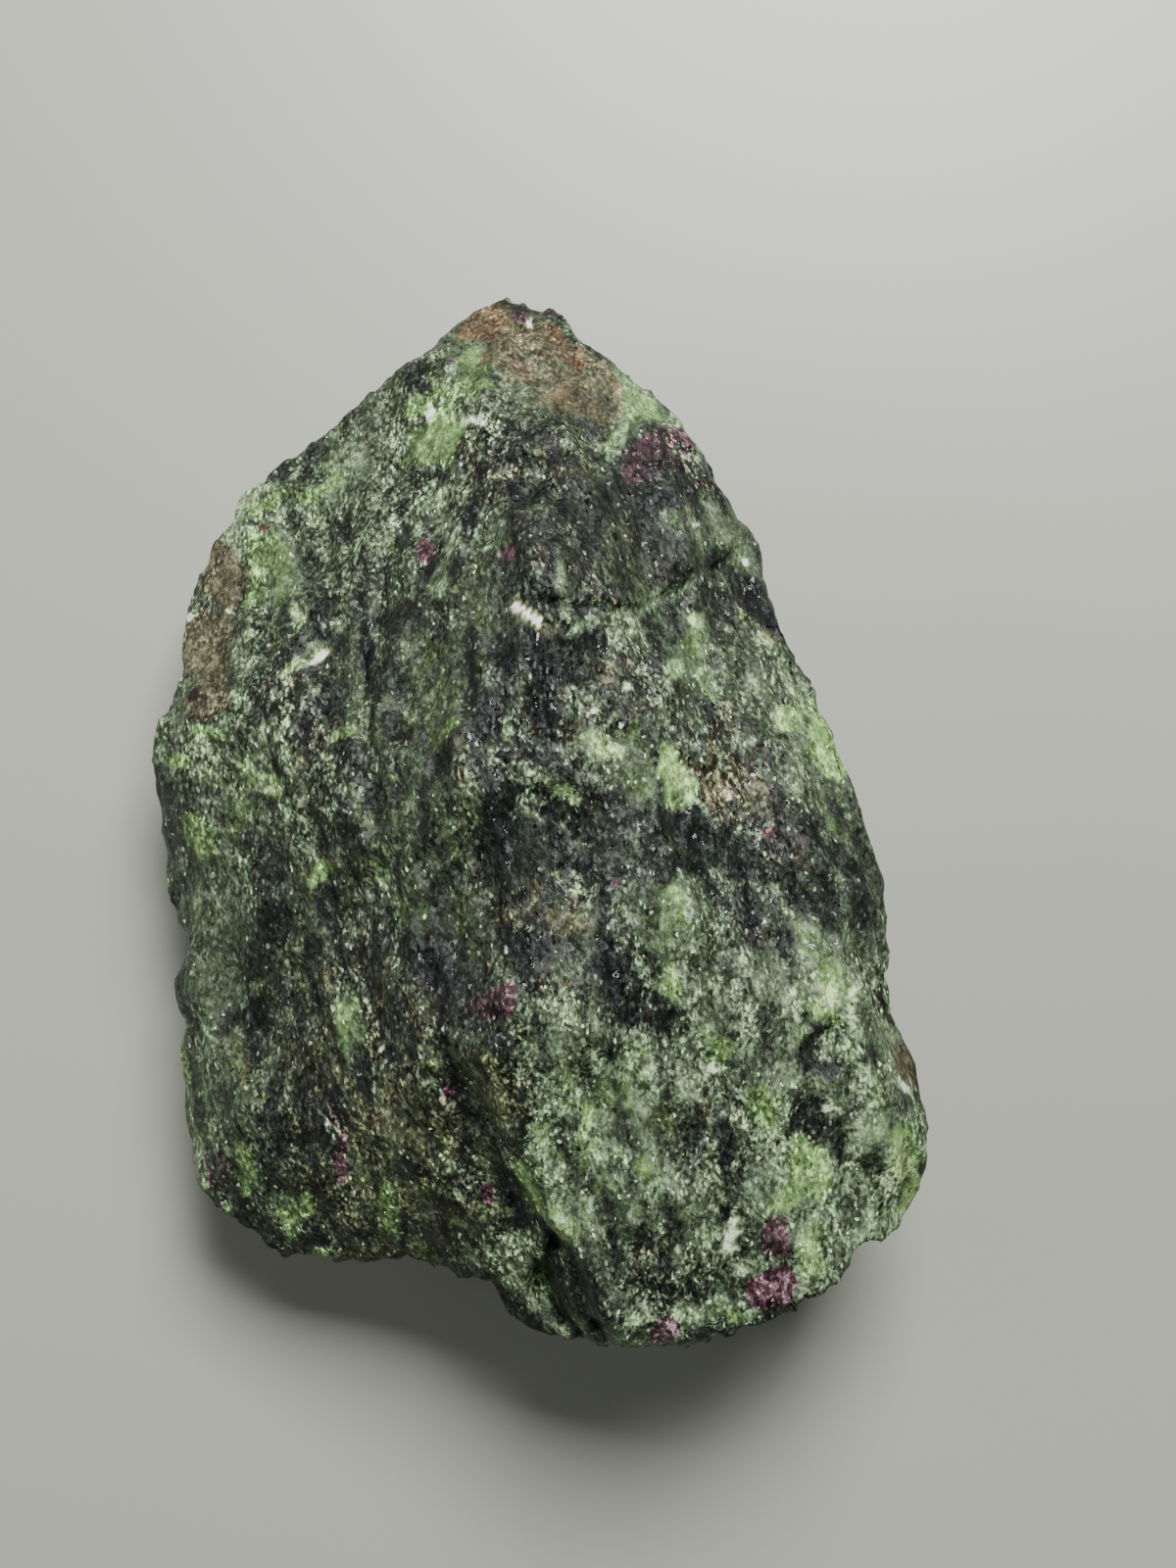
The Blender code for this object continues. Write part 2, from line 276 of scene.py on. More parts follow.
def relief(p):
    """How far the broken surface stands out from the block at points p on it: the broad swelling,
    plus each size of dish and the ledges, less what sets them back, all calmed towards the rim."""
    drawn = drawn_out(p, DRAWN_OUT)
    rough = SWELL[1] * swell(p, SWELL[0], 3) - SET_BACK
    for size, depth, seed in CHIPS:
        rough = rough + depth * chips(drawn, size, seed)
    from_rim = np.hypot(beyond_rim(p[:, 0], p[:, 1]), p[:, 2] - rim_at(p[:, 0], p[:, 1])[1])
    rough = rough * (RIM_CALM + (1.0 - RIM_CALM) * ease(from_rim / RIM_REACH))
    fine = sum(depth * chips(drawn, size, seed) for size, depth, seed in SMALL_CHIPS)
    fine = fine + ledges(p) - SMALL_SET_BACK
    return rough + fine * (FINE_CALM + (1.0 - FINE_CALM) * ease(from_rim / FINE_REACH))


def on_surface(rays):
    """Where rays from the heart leave the stone. Halving finds where each meets the block. The
    relief is added along the ray, what would reach below the resting face is cut off there, and
    the hollows are sunk straight down."""
    near = np.zeros(len(rays))
    far = np.full(len(rays), FARTHEST)
    for _ in range(HALVINGS):
        middle = 0.5 * (near + far)
        out = outside(HEART + rays * middle[:, None]) > 0.0
        far = np.where(out, middle, far)
        near = np.where(out, near, middle)
    form = HEART + rays * near[:, None]
    reach = near + relief(form) / np.linalg.norm(rays, axis=1)
    falling = np.minimum(rays[:, 2], -1e-6)
    places = HEART + rays * np.minimum(reach, -HEART[2] / falling)[:, None]
    places[:, 2] -= sunk(form)
    return places


# ----------------------------------------
# The skin. The stone is one closed surface: a fine box of squares whose corners are moved out
# along rays from the heart until they lie on the broken surface.
# ----------------------------------------
MILLIMETRE = 0.001
CELLS = np.array((160, 214, 36))     # squares of the box along X, Y and Z
HALF_BOX = np.array((81.0, 107.0, 32.0)) / 2
GATHERED = 0.6           # how much closer together the squares are in the middle of each face
# The sheet the sides are laid out on: which ways run across and up; left, bottom, width, height.
TILES = {
    (2, 1): (0, 1, 0.01, 0.01, 0.55, 0.735), (2, 0): (0, 1, 0.58, 0.01, 0.4, 0.535),
    (0, 0): (1, 2, 0.01, 0.765, 0.55, 0.105), (0, 1): (1, 2, 0.01, 0.885, 0.55, 0.105),
    (1, 0): (0, 2, 0.58, 0.565, 0.4, 0.105), (1, 1): (0, 2, 0.58, 0.69, 0.4, 0.105),
}


def side_of_box(axis, side):
    """The whole-numbered corners of the squares on one side of the box, four for each square,
    going round so that the square faces outwards."""
    first, second = (axis + 1) % 3, (axis + 2) % 3
    i, j = np.meshgrid(np.arange(CELLS[first]), np.arange(CELLS[second]), indexing='ij')
    steps = ((0, 0), (1, 0), (1, 1), (0, 1)) if side else ((0, 0), (0, 1), (1, 1), (1, 0))
    corners = np.empty((i.size, 4, 3), dtype=np.int64)
    corners[..., axis] = side * CELLS[axis]
    for corner, (di, dj) in enumerate(steps):
        corners[:, corner, first] = i.ravel() + di
        corners[:, corner, second] = j.ravel() + dj
    return corners


def place_on_sheet(axis, side):
    """Where one side's squares are laid out flat on the sheet: its longer way runs across for a
    flank, and each side fills its own tile."""
    across, up, left, bottom, wide, high = TILES[axis, side]
    corners = side_of_box(axis, side).reshape(-1, 3) / CELLS
    return np.stack([left + wide * corners[:, across], bottom + high * corners[:, up]], axis=1)


def rays_to(box):
    """Rays from the heart to points of the unit box, gathered towards the middle of its faces, with
    its middle row turned to follow the rim."""
    level = box * (GATHERED + (1.0 - GATHERED) * box ** 2)
    rays = level * HALF_BOX
    reach, height = rim_at(rays[:, 0] + HEART[0], rays[:, 1] + HEART[1])
    slant = (height - HEART[2]) / reach * np.hypot(rays[:, 0], rays[:, 1])
    rays[:, 2] += slant * (1.0 - level[:, 2] ** 2)
    return rays


def put_down(name, data):
    """A new object of this name and data, in the scene at the origin."""
    thing = bpy.data.objects.new(name, data)
    bpy.context.scene.collection.objects.link(thing)
    return thing


sides = [side_of_box(axis, side) for axis in range(3) for side in (0, 1)]
corners = np.concatenate(sides).reshape(-1, 3)
keys = (corners[:, 0] * (CELLS[1] + 1) + corners[:, 1]) * (CELLS[2] + 1) + corners[:, 2]
_, kept, squares = np.unique(keys, return_index=True, return_inverse=True)
stone_points = on_surface(rays_to(corners[kept] / CELLS * 2.0 - 1.0))
stone_points[:, :2] -= (stone_points.min(axis=0) + stone_points.max(axis=0))[:2] / 2.0

stone_mesh = bpy.data.meshes.new("rough_stone")
stone_mesh.from_pydata(stone_points * MILLIMETRE, (), squares.reshape(-1, 4))
stone_mesh.shade_smooth()
sheet = stone_mesh.uv_layers.new(name="OFBake")
places = [place_on_sheet(axis, side) for axis in range(3) for side in (0, 1)]
sheet.uv.foreach_set("vector", np.concatenate(places).ravel())
stone = put_down("rough_stone", stone_mesh)
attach(stone, "root")
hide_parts("ruby_in_zoisite")


# ----------------------------------------
# The minerals. Green zoisite, from bottle green to pale mint, makes the ground; black hornblende
# runs through it in bands and lenses along the layers, and rubies sit in it, each in a dark shell.
# ----------------------------------------
# The minerals are laid out on a plan: the stone seen from EYE, straight above, and drawn at the
# scale of its middle height, LEVEL. Places on the plan are in millimetres from the middle.
EYE = np.array((5.72, 2.76, 280.0))
LEVEL = 24.0
# Below the upper faces the plan gives way to scattered minerals: in what depth, and how far down
# that ends, as so many times the depth.
PLAN_FADE, PLAN_ENDS = 6.0, 1.3

# What each mineral sets: how light it is (0 black, 1 white), how much its grains differ, and how
# much of it is ruby, lime, earthy, rusty and dull.
MINERALS = {
    "dark ground": (0.295, 0.55, 0, 0.34, 0.42, 0, 0),
    "brown ground": (0.375, 0.5, 0.05, 0.36, 0.52, 0, 0),
    "light ground": (0.51, 0.52, 0, 0.2, 0.05, 0, 0),
    "pale ground": (0.645, 0.5, 0, 0.2, 0.05, 0, 0),
    "speckled": (0.33, 0.84, 0, 0, 0.45, 0, 0),
    "rosy": (0.42, 0.72, 0.22, 0, 0.6, 0, 0),
    "olive": (0.38, 0.4, 0, 0.42, 0.42, 0, 0.1),
    "weathered": (0.54, 0.28, 0, 0.25, 0.1, 0, 0.7),
    "green": (0.53, 0.3, 0, 0.45, 0, 0, 0),
    "hornblende": (0.1, 0.56, 0, 0, 0.3, 0, 0),
    "mint": (0.755, 0.4, 0, 0.45, 0, 0, 0),
    "lime": (0.73, 0.34, 0, 0.9, 0, 0, 0),
    "clear lime": (0.59, 0.2, 0, 0.95, 0, 0, 0),
    "tan": (0.56, 0.5, 0, 0.36, 0.58, 0, 0.2),
    "brown skin": (0.49, 0.42, 0.12, 0, 0.9, 0.1, 0.9),
    "clay": (0.51, 0.42, 0, 0.14, 0.85, 0.42, 0.6),
    "rust": (0.5, 0.36, 0, 0.1, 0.7, 0.75, 0.6),
    "dark ruby": (0.27, 0.85, 0.5, 0, 0.3, 0, 0),
    "ruby": (0.4, 0.58, 0.85, 0, 0.2, 0, 0),
    "pink ruby": (0.53, 0.55, 0.85, 0, 0.2, 0, 0),
    "white": (1.15, 0.12, 0, 0, 0.7, 0, 0),
}
# Where each lies on the plan, in the order they cover one another: x, y, half its length and half
# its breadth, the direction of its length, and how much of it there is.
PATCHES = (
    ("dark ground", (
        (-20, -30, 26, 16, 100, .9), (10, 22, 17, 13, 115, .8), (-8, 31, 11, 7, 20, .5),
        (7, 27.5, 8, 7.5, 120, .8), (-6, 28, 5, 3.5, 90, .8), (-26.5, 22, 7, 3.5, 100, .7),
        (-12, 7, 5, 4, 90, .7), (-29, -5, 6, 3, 100, .7), (-22, -5, 5, 2, 100, .6),
        (-11, -17, 7, 3.5, 160, .8), (-29.5, -34, 7, 4, 105, .8), (-23, -7, 5, 2.2, 95, .8),
        (-16, -20, 6, 5, 100, .8), (-26, -17, 3, 2, 90, .7), (-29, 6, 2.6, 2, 90, .7),
        (-29, -2, 8, 6, 95, .6), (-6, 21, 7, 5, 90, .6), (-20, 25, 3, 2, 100, .7),
        (-25.5, -19, 5, 3, 95, .8), (-1, 24, 4, 3, 90, .8), (16, 8, 3, 2, 120, .8),
        (-10, 16, 4, 3, 90, .8), (3, -2, 3, 2.5, 90, .8), (-16, -21, 5, 3, 120, .8),
        (7, 30, 4, 3, 100, .7), (14, 9, 4, 2, 125, .8), (-27.5, -30, 5, 2, 105, .7),
        (4.5, 17, 3, 2, 30, .8), (13, 11, 4, 2, 125, .9), (8, -28, 2.5, 2, 90, .7),
        (3, 24, 3.5, 3, 90, .8), (7, 30, 3, 3, 90, .8), (2, 37, 2.5, 1.8, 90, .8),
        (-2, 17, 4, 2, 90, .8), (-36.5, -23, 5, 1.6, 100, .7), (12, -17, 3, 1.6, 120, .6))),
    ("brown ground", (
        (-22, -34, 19, 10, 103, .9), (-14, -42, 6, 6, 90, .6), (-10, -32, 6, 3, 110, .6))),
    ("light ground", (
        (18, -32, 24, 19, 60, .8), (-24, 30, 15, 7, 50, .7), (19, 6, 9, 7, 100, .8),
        (6, -20, 12, 10, 90, .6), (-42, 5, 5, 2, 85, .8), (-37, 27, 5, 3, 60, .8),
        (-10, 38, 4, 2.5, 20, .8), (-15, 28.5, 3, 2, 20, .8), (29, -43, 10, 6, 100, .9))),
    # Some of the pale ground here, and some of the mint below, on the scarp wall, the lower right
    # corner and the rim at the blunt end, is partly painted light: paler to lift the shade on those
    # steep faces.
    ("pale ground", (
        (14, -34, 17, 12, 100, .7), (28, -42, 12, 8, 100, .9), (28, -26, 8, 6, 100, .8),
        (-2, -39, 9, 4, 105, .8), (12, -26, 6, 5, 100, .6), (-5, -25, 3, 3, 90, .8),
        (-36, 27, 5, 3, 60, .9), (12, 35, 4, 2, 130, .9), (15, 26, 3, 2, 110, .8),
        (4, 14.5, 3, 2, 90, .9), (-6.5, 1.2, 2.4, 1.6, 150, .7), (-6.5, -50, 4, 2.2, 110, .9),
        (34, -38, 6, 3, 90, .9), (14, -39, 3, 2, 100, .8), (0, -27, 2.5, 2, 90, .8),
        (13, -28, 2.5, 2, 90, .8), (24, -24, 3, 2, 100, .8), (-6.5, -26.5, 3, 2.5, 95, .8),
        (-14, 27, 3, 2, 60, .9), (-34, 23, 4, 2, 70, .8), (11, 37, 4, 2, 130, .9),
        (12.5, 26, 3, 2, 110, .8), (17, -53, 7, 2, 15, 1), (35, -36, 8, 2.5, 85, .9),
        (22, 3, 4, 1.6, 110, .8), (13, 3, 2, 1.5, 90, .8), (-35, 13, 3, 1.5, 80, .7),
        (-38.5, 5, 3, 1.5, 85, .8))),
    ("dark ground", (
        (10, -35, 4.5, 3, 100, .9), (27, -43, 2.5, 2, 100, .7))),
    ("olive", (
        (-16.5, 0, 21, 5.8, 92, .9), (-12, 16, 8, 3.5, 85, .8), (-21, 9, 11, 8, 80, .75),
        (-27.8, -9, 1.9, 1.2, 80, .9), (-14, -14, 6, 5, 90, .6))),
    ("speckled", (
        (-8, 31.5, 10, 5.6, 18, .9), (-22, 15, 6, 4, 60, .25), (-3, 20, 6, 5, 60, .7),
        (2.5, 9.5, 6, 4.5, 20, .8), (12.5, 2.5, 6.5, 4, 120, .8), (-4, -12, 7, 5, 0, .8),
        (20, -5, 5, 4, 150, .7), (18, -15, 4, 2.5, 130, .9), (-21, -22, 5, 10, 10, .4),
        (-5, -29, 7, 5, 100, .4), (14, -33, 8, 4, 100, .5), (8, -49, 5.5, 4.5, 90, .75),
        (-29, 6, 3.5, 2.5, 90, .9), (-12, 2, 3, 2, 90, .8), (-16, -19, 4, 2.5, 110, .7),
        (29.8, -22.4, 3, 1.5, 80, .8))),
    ("rosy", (
        (15.5, -.5, 7.5, 3, 140, .8), (19, -6, 4, 2, 150, .6), (14.5, 7.5, 4, 1.2, 130, .7))),
    ("weathered", (
        (-37.5, -15, 9, 3.2, 97, .9), (-38.5, -29, 6, 1.8, 95, .6))),
    ("green", (
        (-16, 34.5, 4.3, 2.4, 25, 1), (-32, 21.4, 3.6, 3.1, 70, 1), (11, 14, 3.4, 1.9, 100, 1),
        (5.2, 1.8, 4.4, 1.9, 100, 1), (9, -13, 5, 4, 90, .8), (3, -33, 5, 3.6, 100, .7),
        (-2.5, -34, 6, 3, 103, .8), (1, -39, 5, 3, 100, .5), (-19, -10, 6, 3, 100, .4),
        (24, -28, 5, 4, 90, .5), (17, 20, 4, 3, 130, .5), (-1, -44, 4, 2, 105, .8),
        (-24.4, -24, 4.6, 1.4, 102, 1))),
    ("hornblende", (
        (5, 30, 4, 6, 100, .5), (7, 24, 5, 4, 120, .6), (-11, 7, 3, 2, 90, .6),
        (-4, 8, 3, 2, 120, .5), (-6.5, -16.5, 4, 2, 170, .8), (18, -13.5, 4, 2, 130, .7),
        (-28, 21, 3.5, 1.2, 100, .7), (-27, 16.5, 3, 1.5, 60, .7), (-16.5, 41.5, 2.6, 1.4, 40, .9),
        (-6, 29.9, 2.1, 1.9, 0, 1), (7.2, 29.4, 2, 1.1, 0, 1), (16.6, 18.8, 5, 1.3, 132, .9),
        (-33.4, 15, 1.1, .4, 90, 1), (-44.2, -2, 4.4, .9, 88, 1), (-32.9, -14, 2.1, 1, 90, 1),
        (-33.6, -25.2, 3.8, 1.2, 108, 1), (-31.3, -35, 3.5, 1.2, 118, 1),
        (-38.8, -42.9, .6, .6, 0, 1), (-3, -6, 9, 4, 172, .9), (-9, -5, 6.5, 2.8, 90, 1),
        (-4, 13.5, 6.5, 3.2, 170, .95), (14, -6, 9, 2.6, 150, .9), (23, -9.5, 8, 4, 140, .85),
        (6.2, -23.4, 4, 2.7, 150, .95), (2.5, -20, 4.6, 2.8, 95, .85), (24, -27, 3.6, 2, 100, 1),
        (22.4, -34.2, 3.1, 2.2, 110, .95), (25.8, -36.5, 2.6, .9, 95, .9),
        (28.8, -38.2, 2, 1.5, 140, .8), (13.8, -36, 2.5, 1.3, 100, .9),
        (34.4, -38.8, 1.4, .9, 90, 1), (14, -43.5, 1.1, .5, 95, 1), (-26.5, -13, 4, 1.2, 105, .7),
        (-22.5, -30, 4.5, .9, 108, .6), (-18.5, -25, 4.5, 1, 112, .6),
        (-13, -35, 4.5, 1.1, 112, .7), (-22.5, 14, 7, .7, 95, .8), (-26, 9, 3, 2, 90, .5),
        (-24, 3, 3.2, 1.8, 90, .6), (-5, 21, 3, 2, 30, .6), (-5.2, -44, 2.6, .6, 120, 1),
        (-3.9, -47.4, 2.4, .7, 105, 1), (-.8, -52.2, 4.6, 2.4, 125, 1),
        (-5.1, -55.2, 1.4, .9, 100, 1), (2, -27, 3, 1, 140, .5), (19, -25, 4, 1.4, 120, .6),
        (-30, -22, 4, .8, 105, .6), (-29, 5.5, 2.5, 1.2, 90, .8), (-25.5, -19, 4, 1.5, 95, .6),
        (10.5, -34.5, 2.6, 1.5, 110, .8), (-31, 17, 1.6, 1, 90, .9), (-28, -18, 3, 1.2, 100, .8),
        (3.5, -3, 4, 1.5, 140, .9), (9, -8.5, 5, 1.8, 150, .9), (-15, -20, 5, 1.8, 120, .7),
        (27, -35, 2.5, 1.4, 110, .8), (4.5, 30.5, 3.2, 1.6, 60, .8), (-.5, 25, 3, 1.6, 80, .7),
        (-17, -18, 3.5, 1.6, 130, .8), (-11, 1.5, 2.5, 1.2, 90, .7), (-27.5, -20, 4, 1, 100, .7))),
    ("mint", (
        (-8, 43.5, 2.3, 1.7, 20, .6), (-8.4, 5.7, 1.6, .9, 90, .9), (1.5, 3.9, 2.7, 1.3, 170, .9),
        (-2.5, -.9, 2.6, 1, 150, 1), (3, 35, 2.2, 1.1, 75, .8), (8.5, 26.5, 2.2, 1.5, 130, .6),
        (9, 12, 1.3, 1, 0, 1), (12.5, 10, 2.3, 1.2, 100, 1), (10.9, 16.6, 1.2, 1, 0, .9),
        (20.3, 6.5, 1.9, 1.3, 160, .9), (24.5, 3.5, 4, 1.5, 108, .9),
        (10.4, -12, 3.2, 2.6, 100, .8), (8.7, -20.2, 2.5, 1.2, 95, 1),
        (23.5, -20, 4.6, 3.2, 100, .85), (25, -18.8, 1.4, 1.2, 0, 1), (32, -37.5, 2.7, 1.2, 90, .9),
        (-4.8, -39.8, 2.2, 1.9, 90, .9), (-3, -44.5, 3.1, 1.1, 100, .8),
        (21.8, -41.2, 3.3, 2.6, 60, .8), (-32.1, -.1, 1.3, 1.1, 90, 1),
        (-25.6, 16.1, 1, .9, 60, .8), (-27.2, -47.8, 1.2, .8, 20, .9), (-29.7, 12.2, 3, .8, 38, 1),
        (-35.5, 8, 1.3, .6, 85, .8), (22.6, -46.7, 3.5, 1.1, 75, .9), (-13.5, 24, 3, 1.4, 60, .6),
        (-15, 29.5, 3.2, 1.2, 40, .7), (14.5, 33, 2, .8, 130, .5), (29, -31, 2.8, 1.3, 100, .8),
        (19.5, -33, 2.5, 1.1, 100, .8), (-30.5, -44, 3, 1.3, 95, .7),
        (10, -30.5, 2.6, 1.4, 100, .7), (0, -36.5, 2.4, 1.4, 110, .7), (26, -24, 4.5, 3.6, 100, .7),
        (-2, -42, 5, 1.8, 100, .8), (13, -27, 3, 2.6, 100, .7), (5, -28, 3, 1.8, 100, .7),
        (31, -46, 4, 2.4, 100, .7), (-2.6, 20.5, 4, .6, 100, .8), (-.6, 15.8, 1.8, .8, 25, .9),
        (5.5, 18.2, 6, .9, 24, .4), (6.5, -43, 4, 2, 100, .6), (11, -48, 4, 2, 80, .6),
        (28.5, -36, 3, 2, 100, .7), (-4.2, -38, 5, 1.8, 105, .9), (-36.5, 7, 3, 1, 90, .8),
        (-35, 28.5, 3, 1, 60, .8), (22, -50, 3, 1.5, 20, .9), (11.5, -53.5, 4, 1.3, 15, .9),
        (23, -17, 4, 2, 110, .8), (-15, 21, 2.4, 1, 60, .8), (21.8, 9, 2.6, 1.2, 110, .9))),
    ("lime", (
        (-13, 41.3, 3.6, 3, 55, .5), (-15.5, 35, 4.3, 2.2, 28, .9), (-17.4, 38.6, 1.7, 1, 30, .9),
        (9, .6, 4.3, 1.8, 102, 1), (-38.7, 5.1, .8, .8, 0, 1), (-42.2, 2.5, 1.1, .8, 80, .9),
        (-40, -4.8, 3, 1.9, 100, .8), (-28.9, -42.8, 1.3, .8, 80, 1),
        (-34.9, -39.2, 3.3, 1, 98, .7), (14.8, -54, 1, .8, 0, .9), (33.4, -42.1, 2.2, 1.6, 50, .8),
        (-2, 40, 5, 3, 150, .4), (4.5, 39.8, 4.2, 1.6, 130, .6), (-32.6, 24, 3.4, 2.4, 100, .6),
        (-27.5, 30, 3, .7, 35, .8), (-32.2, 28.9, 2.9, .8, 31, .9), (20.5, 6.3, 1.8, 1.3, 150, .9),
        (24.2, 3.2, 3.6, 1.4, 108, .8), (8.5, -20, 2.2, .9, 98, .8), (-6, -41, 3.5, 1.2, 112, .7),
        (-20, -43.5, 4, .9, 105, .6), (-14, 5.8, 1.2, .7, 60, .7), (24.7, -19.6, 1.6, 1.3, 100, .9),
        (24, -23.2, 2, 1.3, 100, .9), (14, -27.1, 1.7, 1, 40, .9), (17.8, -33.1, 3.2, 1.1, 110, .8),
        (22.2, -39.3, 3, 2.2, 90, 1), (32.7, -37.5, 3.2, 1.8, 100, .8),
        (-34.2, 20.8, 3.2, .7, 75, 1), (19.9, -42.5, 1.8, 1.6, 40, .9),
        (22.5, -48.2, 2.2, 1.2, 80, .9), (0, -34, 1.4, 1.1, 90, .8), (5.7, -39, 1.3, .9, 60, .8),
        (-24.4, -23.9, 4.2, 1.3, 99, .35), (-24.8, 5.2, 1.8, .7, 30, .8),
        (-27.5, -9, 1.6, 1.1, 80, .9))),
    ("clear lime", (
        (-11.6, 42.4, 2.5, 1.9, 80, .9), (-16.2, 34.4, 4, 1.8, 20, .95))),
    ("tan", (
        (-1.8, -13.6, 3, 2, 150, .9), (-2, -20.2, 2.4, 1.1, 10, .9),
        (-19.4, -34.2, 4.2, 3.6, 110, .6), (-35.5, -29, 4.1, 1.5, 95, .8),
        (18.5, 15, 1.2, 1.1, 0, .8), (3.6, -16.8, 2.4, .8, 60, .5), (-14, -34.5, 3, 1.5, 105, .8),
        (-22, -35, 3, 1.6, 105, .9), (-26, -28, 3, 1, 105, .6), (-26.5, -18, 4, 1, 100, .5),
        (-9, -33, 4, 1.4, 110, .5))),
    ("clay", (
        (-3.5, 41.5, 8, 3.2, 150, .8), (-8, 46, 4.5, 2.4, 35, .9), (0, 42.5, 4, 1.8, 140, .8))),
    ("brown skin", (
        (-37.5, 21.2, 3.6, 2.7, 75, 1), (-38.8, 14.5, 3.9, 2.9, 85, 1),
        (-39, 8.6, 3.2, 2.5, 80, .9), (32.5, -28.5, 2.7, 1.1, 110, .9),
        (-33.5, -7, 3.3, 1.7, 95, .5))),
    ("rust", (
        (-10.2, 47, 3.4, 1.8, 38, .9), (-2.4, 44.4, 3.6, 1.5, 138, .8),
        (-32.6, 26.5, 1.2, .7, 60, 1), (-13, 46, 1.6, .7, 35, .7))),
    ("dark ruby", (
        (7, 33.5, 3.9, 3.8, 60, 1), (12, 31, 2.6, 1.5, 140, .8), (-11.2, -23, 2.3, 2.2, 90, .9),
        (-12.2, -40, 3.1, 2.3, 100, .7), (-26, -35.5, 4.7, 1.6, 98, .9),
        (19.5, -46.5, 3.2, 2, 100, .9), (17.5, 3, 1.9, 1.5, 90, .9),
        (19.3, -5.4, 3.2, 1.9, 160, .8), (-33.5, -7, 3.4, 1.5, 95, .6),
        (-4.5, 48.3, 1.3, .8, 0, .9), (-14.3, -30.9, 1.4, 1.1, 100, .8),
        (-22, -34, 5, 1, 105, .5))),
    ("ruby", (
        (-10.6, -22.4, 1.9, 1.4, 90, .9), (5.6, 33.4, 3, 1.5, 75, .9), (-6.6, 47.8, 1.4, .8, 30, 1),
        (-16.5, 23.8, 1.6, .9, 80, 1), (-8.2, 23.4, 1.2, 1, 0, .9), (-8.6, -22.1, 2.2, 1.5, 80, 1),
        (-10.4, -41.7, 1.4, 1.1, 90, .8), (-25.2, -38.6, 1.8, .8, 100, .9),
        (18.9, -51.7, 3.1, 2.7, 60, 1), (7.9, -56, 1.8, 1.5, 0, 1), (-14.3, -30.9, 1, .8, 90, .8),
        (9, 35.6, 1.6, .8, 140, .7))),
    ("pink ruby", (
        (4.5, 31.2, .9, .7, 80, .7), (-8.2, -21.6, 1.3, .9, 80, .9), (18.7, -5, .9, .6, 90, .9),
        (-14.3, 42.9, 1, .5, 80, .8), (19.6, -50.4, .9, .7, 60, .5),
        (19.8, -45.8, 2.2, 1.6, 100, .5))),
    ("white", (
        # The first of these, near the pointed end, is a painted glint; the others are pale flakes
        # and specks.
        (-5.9, 46.9, .6, .4, 0, 1), (-6.4, 17.5, 2.3, .7, 149, 1), (11, 26.5, .4, .3, 0, 1),
        (16, 22.7, .4, .3, 0, 1), (-40.8, 17, .5, .4, 90, 1), (-36.6, 17.7, .3, .3, 0, 1),
        (32.2, -30.8, 1.3, .35, 127, 1), (20.8, -21, .5, .5, 0, 1), (27, -21.2, .5, .5, 0, 1),
        (14.8, -45.8, 2.4, .9, 80, .9), (12.5, -29.2, .5, .5, 0, .9), (5.7, -29.2, 1.2, .8, 60, .5),
        (.8, 7.4, .6, .4, 30, 1), (4, 10, .5, .4, 0, 1), (24.5, -33.1, .5, .3, 0, 1),
        (-12.1, 37, 2.3, .45, 170, .9), (-15.9, 37.6, .7, .4, 0, .9),
        (-27.5, 12.9, 1.5, .45, 40, .8))),
)
